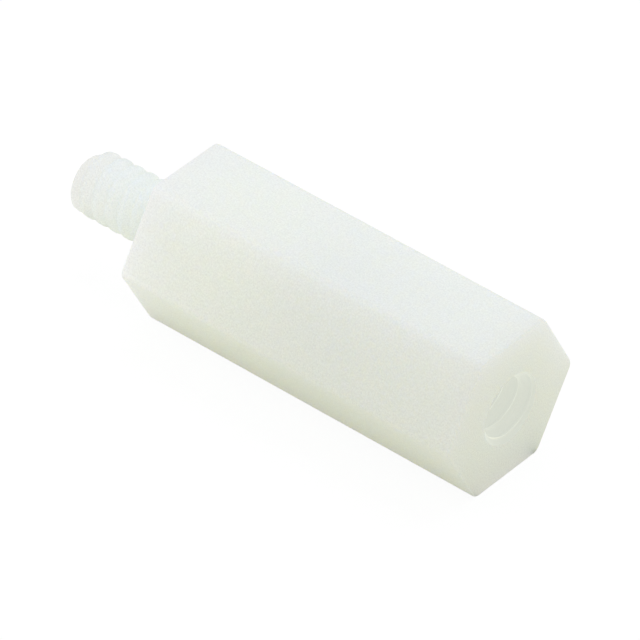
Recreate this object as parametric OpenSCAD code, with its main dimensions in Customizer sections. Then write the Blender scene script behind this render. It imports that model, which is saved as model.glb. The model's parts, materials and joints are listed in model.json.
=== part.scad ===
// Male-female hex standoff, moulded in one piece in natural nylon.
// It lies on one of its six flats with its axis along X. The origin is on the axis in the plane
// of the shoulder: the threaded stud points to -X, and the body runs to its tapped end at +X.
// Both threads are number 4-40. The stud carries its thread as rings of the same pitch and
// section, and the hole is drawn at its tapping drill, both without the helix.

/* [Hexagonal body] */
// Width across the flats
hex_width = 6.35; // [4.5:0.05:10]
// Length from the shoulder to the tapped end
body_length = 15.875; // [11:0.125:40]
// Radius along the six long edges
long_edge_radius = 0.35; // [0.05:0.05:0.5]
// Bevel where the flats meet both end faces
end_bevel = 0.08; // [0.02:0.02:0.3]

/* [Stud] */
// Diameter over the crests of the thread
stud_diameter = 2.66; // [2.3:0.02:4]
// Length from the shoulder to the tip
stud_length = 4.6; // [3:0.05:10]
// How much smaller the flat tip is than the crests, on the radius
stud_tip_step = 0.1; // [0.05:0.05:0.6]
// Length of the tapered lead behind the tip
stud_lead = 0.45; // [0.1:0.05:1]
// Distance from one turn of the thread to the next
thread_pitch = 0.635; // [0.6:0.005:1]
// Depth of the thread from its crests to its roots
thread_depth = 0.29; // [0.1:0.01:0.35]

/* [Tapped hole] */
// Diameter of the tapping drill
hole_diameter = 2.26; // [1.6:0.02:2.9]
// Depth from the end face at full diameter
hole_depth = 9.5; // [3:0.25:14]
// Angle of the cone that the point of the drill leaves
drill_point_angle = 118; // [90:2:140]
// Diameter of the countersunk mouth
mouth_diameter = 3.2; // [2.92:0.02:4]
// Angle of the countersink
mouth_angle = 90; // [60:2:120]

/* [Hidden] */
$fn = 96;
// Cutters run this far past the face that they open
overrun = 1;
// Flat left between two rounded long edges
flat_width = (hex_width - 2 * long_edge_radius) * tan(30);
// Slope of the thread's flanks, flat along the root of each turn, and number of full turns
flank_angle = 30;
root_flat = thread_pitch / 4;
thread_turns = floor(stud_length / thread_pitch);
// Depth of the countersink, and height of the drill's cone
mouth_depth = (mouth_diameter - hole_diameter) / 2 / tan(mouth_angle / 2);
drill_cone = hole_diameter / 2 / tan(drill_point_angle / 2);

// Outline of the bar: three crossed strips, one for each pair of flats, and a round at each
// corner that meets its two flats smoothly
module rounded_hexagon() {
    for (turn = [0 : 60 : 120])
        rotate(turn) square([hex_width, flat_width], center = true);
    for (turn = [30 : 60 : 330])
        rotate(turn) translate([flat_width, 0]) circle(long_edge_radius);
}

// One pair of flats seen along their width, with the bevels at both ends
module bevelled_slab() {
    half = hex_width / 2;
    rotate([90, 0, 0])
        linear_extrude(2 * hex_width, center = true)
            polygon([
                [end_bevel - half, 0], [half - end_bevel, 0],
                [half, end_bevel], [half, body_length - end_bevel],
                [half - end_bevel, body_length], [end_bevel - half, body_length],
                [-half, body_length - end_bevel], [-half, end_bevel],
            ]);
}

module hex_bar() {
    intersection() {
        linear_extrude(body_length) rounded_hexagon();
        bevelled_slab();
        rotate(60) bevelled_slab();
        rotate(120) bevelled_slab();
    }
}

// Cutter for the groove of one turn, centred on its own height
module thread_groove() {
    root_radius = stud_diameter / 2 - thread_depth;
    half_opening = root_flat / 2 + (thread_depth + overrun) * tan(flank_angle);
    rotate_extrude()
        polygon([
            [root_radius, root_flat / 2], [stud_diameter / 2 + overrun, half_opening],
            [stud_diameter / 2 + overrun, -half_opening], [root_radius, -root_flat / 2],
        ]);
}

// Stud below the shoulder, with its tapered lead and a groove in the middle of every turn
module stud() {
    difference() {
        rotate_extrude()
            polygon([
                [0, overrun], [stud_diameter / 2, overrun],
                [stud_diameter / 2, stud_lead - stud_length],
                [stud_diameter / 2 - stud_tip_step, -stud_length], [0, -stud_length],
            ]);
        for (turn = [0.5 : thread_turns])
            translate([0, 0, -turn * thread_pitch]) thread_groove();
    }
}

// Cutter for the blind hole: countersunk mouth, tapping drill and the cone of its point
module tapped_hole() {
    mouth_slope = tan(mouth_angle / 2);
    translate([0, 0, body_length])
        rotate_extrude()
            polygon([
                [0, overrun], [mouth_diameter / 2 + overrun * mouth_slope, overrun],
                [hole_diameter / 2, -mouth_depth], [hole_diameter / 2, -hole_depth],
                [0, -hole_depth - drill_cone],
            ]);
}

module standoff() {
    color("ivory")
        rotate([0, 90, 0])
            difference() {
                union() {
                    hex_bar();
                    stud();
                }
                tapped_hole();
            }
}

standoff();
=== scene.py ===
import json
from math import cos, hypot, pi, radians, sin, tan

import bmesh
import bpy
from mathutils import Matrix, Vector


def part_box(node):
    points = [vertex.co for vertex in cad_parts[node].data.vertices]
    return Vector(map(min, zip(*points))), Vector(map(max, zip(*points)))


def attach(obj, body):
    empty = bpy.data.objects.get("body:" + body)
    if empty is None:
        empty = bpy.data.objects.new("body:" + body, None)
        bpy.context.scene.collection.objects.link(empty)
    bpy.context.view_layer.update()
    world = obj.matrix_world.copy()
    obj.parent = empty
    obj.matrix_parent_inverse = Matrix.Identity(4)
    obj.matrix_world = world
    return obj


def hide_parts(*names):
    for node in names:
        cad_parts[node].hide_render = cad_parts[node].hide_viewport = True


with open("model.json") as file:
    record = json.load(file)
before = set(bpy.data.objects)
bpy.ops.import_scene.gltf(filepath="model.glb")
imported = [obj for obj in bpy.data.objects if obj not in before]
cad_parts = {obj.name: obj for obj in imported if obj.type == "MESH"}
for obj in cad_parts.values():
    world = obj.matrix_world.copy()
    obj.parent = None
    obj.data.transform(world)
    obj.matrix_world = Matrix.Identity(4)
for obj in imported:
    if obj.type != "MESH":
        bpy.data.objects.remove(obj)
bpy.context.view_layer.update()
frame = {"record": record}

# Camera
# A long lens looks down on the tapped end from the front right. It is tipped a few degrees about
# its own line of sight.
camera_azimuth = radians(38.55)
camera_elevation = radians(38.92)
camera_roll = radians(2.19)
camera_distance = 0.31
aim_point = Vector((0.006713, 0.000057, -0.000777))

line_of_sight = Vector((
    sin(camera_azimuth) * cos(camera_elevation),
    -cos(camera_azimuth) * cos(camera_elevation),
    sin(camera_elevation),
))
lens = bpy.data.cameras.new("camera")
lens.sensor_width = 36
lens.lens = 465.7
lens.clip_start = 0.01
camera = bpy.data.objects.new("camera", lens)
camera.matrix_world = (
    Matrix.Translation(aim_point + line_of_sight * camera_distance)
    @ line_of_sight.to_track_quat("Z", "Y").to_matrix().to_4x4()
    @ Matrix.Rotation(camera_roll, 4, "Z")
)
bpy.context.collection.objects.link(camera)
bpy.context.scene.camera = camera

# Standoff
# One moulding in natural nylon: a hexagonal body with a threaded stud on one end and a blind
# tapped hole in the other. It lies on one of its flats, and both threads are right-hand number
# 4-40 with rounded crests and roots. The mesh is made in millimetres and scaled at the end.
mm = 0.001
low, high = (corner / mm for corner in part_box("standoff"))
mounts = {mount["name"]: mount["dims"] for mount in frame["record"]["mounts"]}
hex_width = high.z - low.z
long_edge_radius = 0.35
end_bevel = 0.08
pitch = 0.635
flank_angle = radians(30)
thread_rounding = 0.03
spare_turns = 2
steps_per_turn = 96
stud_crest = mounts["stud"]["r_mm"]
stud_thread_depth = 0.29
stud_root = stud_crest - stud_thread_depth
stud_valley_flat = 0.08
tip_radius = 1.25
tip_rim = 0.05
lead_length = 0.45
bore_radius = mounts["tapped_hole"]["r_mm"]
bore_thread_depth = 0.3
bore_root = bore_radius + bore_thread_depth
bore_valley_flat = 0.12
mouth_radius = 1.5
bore_depth = 9.5
tapped_depth = 8.9
thread_fade = 1.2 * pitch
drill_point_angle = radians(118)
drill_cone = bore_radius / tan(drill_point_angle / 2)
same_place = 0.0005
same_plane = 0.001
hole_slot = 1
stud_slot = 2


def wind_thread(valley, peak, valley_flat, valley_x, first_x, last_x):
    """Turns a thread's rounded profile once round X, one pitch along, and trims it to two planes.

    On the upper side of the part, valleys lie at valley_x and at whole pitches from it.
    """
    wall = bmesh.new()
    flank = abs(peak - valley) * tan(flank_angle)
    peak_flat = pitch - valley_flat - 2 * flank
    turns = int((last_x - first_x) / pitch) + 2 * spare_turns + 1
    begin_x = valley_x - (int((valley_x - first_x) / pitch) + spare_turns) * pitch
    corners = [wall.verts.new((begin_x, 0, valley))]
    for turn in range(turns):
        for along, radius in (
            (valley_flat / 2, valley),
            (valley_flat / 2 + flank, peak),
            (valley_flat / 2 + flank + peak_flat, peak),
            (pitch - valley_flat / 2, valley),
        ):
            corners.append(wall.verts.new((begin_x + turn * pitch + along, 0, radius)))
    corners.append(wall.verts.new((begin_x + turns * pitch, 0, valley)))
    for pair in zip(corners, corners[1:]):
        wall.edges.new(pair)
    bmesh.ops.bevel(
        wall, geom=corners[1:-1], offset=thread_rounding, segments=2,
        profile=0.5, affect="VERTICES", material=-1,
    )
    flanks = [
        edge for edge in wall.edges
        if abs(edge.verts[0].co.z - edge.verts[1].co.z) > thread_rounding
    ]
    bmesh.ops.subdivide_edges(wall, edges=flanks, cuts=3)
    # One turn ends a pitch further along, so its doubles are merged here and not by the spin
    bmesh.ops.spin(
        wall, geom=wall.verts[:] + wall.edges[:], cent=(0, 0, 0), axis=(1, 0, 0),
        dvec=(pitch / steps_per_turn, 0, 0), angle=2 * pi, steps=steps_per_turn,
    )
    bmesh.ops.remove_doubles(wall, verts=wall.verts, dist=same_place)
    for plane_x, outward in ((first_x, -1), (last_x, 1)):
        bmesh.ops.bisect_plane(
            wall, geom=wall.verts[:] + wall.edges[:] + wall.faces[:], dist=same_place,
            plane_co=(plane_x, 0, 0), plane_no=(outward, 0, 0), clear_outer=True,
        )
    return wall


def set_radius(vert, radius):
    """Moves a vertex towards or away from X to that radius."""
    now = hypot(vert.co.y, vert.co.z)
    vert.co.y *= radius / now
    vert.co.z *= radius / now


def rim_at(mesh, plane_x):
    """The open edges that lie in the plane at that X."""
    return [
        edge for edge in mesh.edges
        if len(edge.link_faces) < 2
        and all(abs(vert.co.x - plane_x) < same_plane for vert in edge.verts)
    ]


def make_stud():
    """Threaded wall from the tip to the shoulder, with a tapered lead and a flat tip."""
    stud = wind_thread(stud_root, stud_crest, stud_valley_flat, 0, low.x + tip_rim, 0)
    for vert in stud.verts:
        radius = hypot(vert.co.y, vert.co.z)
        lead = tip_radius + (stud_crest - tip_radius) * (vert.co.x - low.x) / lead_length
        if radius > lead:
            set_radius(vert, lead)
    tip = bmesh.ops.edgeloop_fill(stud, edges=rim_at(stud, low.x + tip_rim))["faces"]
    bmesh.ops.inset_region(stud, faces=tip, thickness=tip_rim, depth=0)
    bmesh.ops.translate(stud, verts=tip[0].verts[:], vec=(-tip_rim, 0, 0))
    for face in stud.faces:
        face.material_index = stud_slot
    return stud


def make_bore():
    """Wall of the tapped hole: countersink, thread that fades out, drilled end and its cone."""
    thread_end = high.x - tapped_depth
    bore = wind_thread(bore_root, bore_radius, bore_valley_flat, high.x, thread_end, high.x)
    for vert in bore.verts:
        radius = hypot(vert.co.y, vert.co.z)
        if vert.co.x < thread_end + thread_fade:
            share = max(0, vert.co.x - thread_end) / thread_fade
            radius = bore_radius + (radius - bore_radius) * share
        countersink = mouth_radius - (high.x - vert.co.x)
        set_radius(vert, max(radius, countersink))
    drilled = bmesh.ops.extrude_edge_only(bore, edges=rim_at(bore, thread_end))["geom"]
    drilled_verts = [item for item in drilled if isinstance(item, bmesh.types.BMVert)]
    bmesh.ops.translate(bore, verts=drilled_verts, vec=(tapped_depth - bore_depth, 0, 0))
    end = bmesh.ops.edgeloop_fill(bore, edges=rim_at(bore, high.x - bore_depth))["faces"]
    point = bmesh.ops.poke(bore, faces=end)["verts"]
    bmesh.ops.translate(bore, verts=point, vec=(-drill_cone, 0, 0))
    for face in bore.faces:
        face.material_index = hole_slot
    return bore


def make_hex_bar():
    """Hexagonal bar along X with rounded long edges, bevelled ends and open end faces."""
    bar = bmesh.new()
    bmesh.ops.create_circle(
        bar, cap_ends=True, segments=6, radius=hex_width / 2 / cos(pi / 6),
        matrix=Matrix.Rotation(pi / 2, 4, "Y"),
    )
    far_end = bmesh.ops.extrude_face_region(bar, geom=bar.faces[:])["geom"]
    far_verts = [item for item in far_end if isinstance(item, bmesh.types.BMVert)]
    bmesh.ops.translate(bar, verts=far_verts, vec=(high.x, 0, 0))
    long_edges = [
        edge for edge in bar.edges
        if abs(edge.verts[0].co.x - edge.verts[1].co.x) > same_plane
    ]
    bmesh.ops.bevel(
        bar, geom=long_edges, offset=long_edge_radius * tan(pi / 6), offset_type="OFFSET",
        segments=4, profile=0.5, affect="EDGES", material=-1,
    )
    end_edges = [
        edge for edge in bar.edges
        if abs(edge.verts[0].co.x - edge.verts[1].co.x) < same_plane
    ]
    bmesh.ops.bevel(
        bar, geom=end_edges, offset=end_bevel, offset_type="OFFSET",
        segments=3, profile=0.5, affect="EDGES", material=-1,
    )
    end_faces = [face for face in bar.faces if len(face.verts) > 4]
    bmesh.ops.delete(bar, geom=end_faces, context="FACES_ONLY")
    return bar


def join_in(body, part):
    """Adds a part's mesh to the body's."""
    carrier = bpy.data.meshes.new("carrier")
    part.to_mesh(carrier)
    part.free()
    body.from_mesh(carrier)
    bpy.data.meshes.remove(carrier)


body = make_hex_bar()
join_in(body, make_stud())
join_in(body, make_bore())
for plane_x, outward in ((0, -1), (high.x, 1)):
    bmesh.ops.triangle_fill(
        body, edges=rim_at(body, plane_x), normal=(outward, 0, 0), use_beauty=True,
    )
bmesh.ops.remove_doubles(body, verts=body.verts, dist=same_place)
bmesh.ops.recalc_face_normals(body, faces=body.faces)
# Edges are smooth up to the crease angle, but not where one of the six flats meets the bevel at
# its end, so that the flat's shading doesn't bend there
least_flat_area = 5
most_bevel_area = 1
crease_angle = radians(30)
for edge in body.edges:
    areas = [face.calc_area() for face in edge.link_faces]
    beside_a_flat = max(areas) > least_flat_area and min(areas) < most_bevel_area
    edge.smooth = edge.calc_face_angle(0) < crease_angle and not beside_a_flat
for face in body.faces:
    face.smooth = True
bmesh.ops.scale(body, vec=(mm, mm, mm), verts=body.verts)
standoff_mesh = bpy.data.meshes.new("hex_standoff")
body.to_mesh(standoff_mesh)
body.free()
standoff = bpy.data.objects.new("hex_standoff", standoff_mesh)
bpy.context.collection.objects.link(standoff)

# Length from the stud's tip over which painted shade fades out and its painted glow rises
painted_tip_shade_and_glow_length = 1.4
# Length at the hole's mouth over which the painted glow stays level
painted_glow_mouth_length = 1.2


def natural_nylon(name, cloudy, clear, depth):
    """Milky, translucent nylon with a fine frosted grain, mixed in soft clouds from two tints.

    Light goes about that depth, in millimetres, before it is scattered.
    """
    material = bpy.data.materials.new(name)
    material.use_nodes = True
    nodes, links = material.node_tree.nodes, material.node_tree.links
    shader = nodes["Principled BSDF"]
    shader.subsurface_method = "RANDOM_WALK"
    shader.inputs["Subsurface Weight"].default_value = 1
    shader.inputs["Subsurface Radius"].default_value = (1, 0.85, 0.6)
    shader.inputs["Subsurface Scale"].default_value = depth * mm
    shader.inputs["IOR"].default_value = 1.53
    shader.inputs["Roughness"].default_value = 0.5
    place = nodes.new("ShaderNodeTexCoord")
    cloud = nodes.new("ShaderNodeTexNoise")
    cloud.inputs["Scale"].default_value = 700
    cloud.inputs["Detail"].default_value = 3
    tint = nodes.new("ShaderNodeMix")
    tint.data_type = "RGBA"
    tint.inputs["A"].default_value = (*cloudy, 1)
    tint.inputs["B"].default_value = (*clear, 1)
    grain = nodes.new("ShaderNodeTexNoise")
    grain.inputs["Scale"].default_value = 16000
    grain.inputs["Detail"].default_value = 1
    spread = nodes.new("ShaderNodeMapRange")
    spread.inputs["From Min"].default_value = 0.25
    spread.inputs["From Max"].default_value = 0.75
    spread.inputs["To Min"].default_value = 0.92
    spread.inputs["To Max"].default_value = 1.07
    shade = nodes.new("ShaderNodeHueSaturation")
    links.new(place.outputs["Object"], cloud.inputs["Vector"])
    links.new(cloud.outputs["Fac"], tint.inputs["Factor"])
    links.new(place.outputs["Object"], grain.inputs["Vector"])
    links.new(grain.outputs["Fac"], spread.inputs["Value"])
    links.new(spread.outputs["Result"], shade.inputs["Value"])
    links.new(tint.outputs["Result"], shade.inputs["Color"])
    links.new(shade.outputs["Color"], shader.inputs["Base Color"])
    return material


def share_along(nodes, links, from_x, to_x, first, last):
    """A value that goes from first to last between two places on X, and stays level past them."""
    place = nodes.new("ShaderNodeTexCoord")
    along = nodes.new("ShaderNodeSeparateXYZ")
    share = nodes.new("ShaderNodeMapRange")
    share.inputs["From Min"].default_value = from_x * mm
    share.inputs["From Max"].default_value = to_x * mm
    share.inputs["To Min"].default_value = first
    share.inputs["To Max"].default_value = last
    links.new(place.outputs["Object"], along.inputs["Vector"])
    links.new(along.outputs["X"], share.inputs["Value"])
    return share.outputs["Result"]


def paint_glow_for_light_through(material, colour, *ramps):
    """Adds a painted glow: emission that stands in for the light that comes through the nylon
    from its far side.

    Each ramp gives two places on X and the two strengths there, and the ramps are multiplied.
    """
    nodes, links = material.node_tree.nodes, material.node_tree.links
    shader = nodes["Principled BSDF"]
    shader.inputs["Emission Color"].default_value = (*colour, 1)
    strength = share_along(nodes, links, *ramps[0])
    for ramp in ramps[1:]:
        product = nodes.new("ShaderNodeMath")
        product.operation = "MULTIPLY"
        links.new(strength, product.inputs[0])
        links.new(share_along(nodes, links, *ramp), product.inputs[1])
        strength = product.outputs[0]
    links.new(strength, shader.inputs["Emission Strength"])


def paint_shade_on_the_tip(material, grey):
    """Painted shade: the thin stud's colour turns greyer and cooler towards its tip, and stands
    in for the shade on its rounded end.
    """
    nodes, links = material.node_tree.nodes, material.node_tree.links
    base = nodes["Principled BSDF"].inputs["Base Color"]
    fade = nodes.new("ShaderNodeMix")
    fade.data_type = "RGBA"
    fade.blend_type = "MULTIPLY"
    fade.inputs["B"].default_value = (*grey, 1)
    share = share_along(nodes, links, low.x, low.x + painted_tip_shade_and_glow_length, 1, 0)
    links.new(share, fade.inputs["Factor"])
    links.new(base.links[0].from_socket, fade.inputs["A"])
    links.new(fade.outputs["Result"], base)


body_nylon = natural_nylon("natural nylon", (0.865, 0.94, 0.81), (0.89, 0.965, 0.835), 9)
# The hole's wall is a dark copy of the nylon that shows little shade. A painted glow brightens it
# and stands in for the light that comes through the walls.
hole_nylon_painted_glow = natural_nylon("nylon round the hole", (0.115, 0.12, 0.11), (0.12, 0.127, 0.116), 0.4)
# A copy of the nylon for the stud. Its cooler tint is painted light that stands in for the light
# passing through the thin stud, and the copy also carries the stud's painted glow and painted tip
# shade.
stud_nylon_with_painted_light = natural_nylon("nylon of the thin stud", (0.87, 0.94, 0.88), (0.89, 0.965, 0.9), 15)
# Painted glow down the hole: weaker at the drilled end and level over the mouth
painted_glow_down_the_hole = (high.x - bore_depth, high.x - painted_glow_mouth_length, 0.55, 0.655)
paint_glow_for_light_through(hole_nylon_painted_glow, (0.915, 0.95, 0.84), painted_glow_down_the_hole)
hole_shader = hole_nylon_painted_glow.node_tree.nodes["Principled BSDF"]
hole_shader.inputs["Specular IOR Level"].default_value = 0.2
# Painted glow on the stud: none at the tip, full a tip's length along, and gone again just before
# the shoulder
painted_glow_up_from_the_tip = (low.x, low.x + painted_tip_shade_and_glow_length, 0, 0.03)
painted_glow_out_at_the_shoulder = (-1.7, -0.7, 1, 0)
paint_glow_for_light_through(stud_nylon_with_painted_light, (0.93, 0.97, 1), painted_glow_up_from_the_tip, painted_glow_out_at_the_shoulder)
# Painted shade on the stud's tip
paint_shade_on_the_tip(stud_nylon_with_painted_light, (0.8, 0.815, 0.85))
# In the order of the mesh's slots: the body's faces have kept slot 0
for nylon in (body_nylon, hole_nylon_painted_glow, stud_nylon_with_painted_light):
    standoff_mesh.materials.append(nylon)
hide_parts("standoff")
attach(standoff, "root")

# Table
# A sheet of matt white paper, lit a little through the sheet, so that it stays white round the
# part and lifts its underside. The standoff lies on it.
table_size = 4.0
seen_glow = 0.85
cast_glow = 0.085
table = bmesh.new()
bmesh.ops.create_grid(
    table, x_segments=1, y_segments=1, size=table_size / 2,
    matrix=Matrix.Translation((0, 0, low.z * mm)),
)
table_mesh = bpy.data.meshes.new("table")
table.to_mesh(table_mesh)
table.free()
floor = bpy.data.objects.new("table", table_mesh)
bpy.context.collection.objects.link(floor)
paper = bpy.data.materials.new("white paper")
paper.use_nodes = True
nodes, links = paper.node_tree.nodes, paper.node_tree.links
nodes.remove(nodes["Principled BSDF"])
matt = nodes.new("ShaderNodeBsdfDiffuse")
matt.inputs["Color"].default_value = (0.85, 0.85, 0.7, 1)
glow = nodes.new("ShaderNodeEmission")
glow.inputs["Color"].default_value = (0.98, 0.98, 1, 1)
glow.inputs["Strength"].default_value = 1.08
ray = nodes.new("ShaderNodeLightPath")
glow_share = nodes.new("ShaderNodeMath")
glow_share.operation = "MULTIPLY_ADD"
glow_share.inputs[1].default_value = seen_glow - cast_glow
glow_share.inputs[2].default_value = cast_glow
lit_paper = nodes.new("ShaderNodeMixShader")
links.new(ray.outputs["Is Camera Ray"], glow_share.inputs[0])
links.new(glow_share.outputs[0], lit_paper.inputs[0])
links.new(matt.outputs[0], lit_paper.inputs[1])
links.new(glow.outputs[0], lit_paper.inputs[2])
links.new(lit_paper.outputs[0], nodes["Material Output"].inputs["Surface"])
table_mesh.materials.append(paper)

# Lights
# A pale surround fills every side. A large softbox stands behind and above, a small one near the
# stud in front, and a weak low card lights the stud and the body from below.
surround = bpy.data.worlds.new("surround")
surround.use_nodes = True
backdrop = surround.node_tree.nodes["Background"]
backdrop.inputs["Color"].default_value = (1, 1, 0.955, 1)
backdrop.inputs["Strength"].default_value = 0.665
bpy.context.scene.world = surround


def softbox(name, azimuth, elevation, distance, size, watts, colour):
    """A square soft light that looks at the part and is itself out of sight."""
    place = distance * Vector((
        cos(radians(azimuth)) * cos(radians(elevation)),
        sin(radians(azimuth)) * cos(radians(elevation)),
        sin(radians(elevation)),
    ))
    lamp = bpy.data.lights.new(name, "AREA")
    lamp.size = size
    lamp.energy = watts
    lamp.color = colour
    holder = bpy.data.objects.new(name, lamp)
    holder.matrix_world = (
        Matrix.Translation(place) @ place.to_track_quat("Z", "Y").to_matrix().to_4x4()
    )
    holder.visible_camera = False
    bpy.context.collection.objects.link(holder)


softbox("rear softbox", 90, 63, 0.25, 0.2, 0.195, (0.74, 0.82, 1))
softbox("near softbox", 210, 40, 0.08, 0.05, 0.0108, (0.79, 0.75, 1))
softbox("low card", 240, -12, 0.013, 0.002, 0.00015, (0.8, 0.8, 1))
bpy.context.scene.view_settings.view_transform = "Standard"
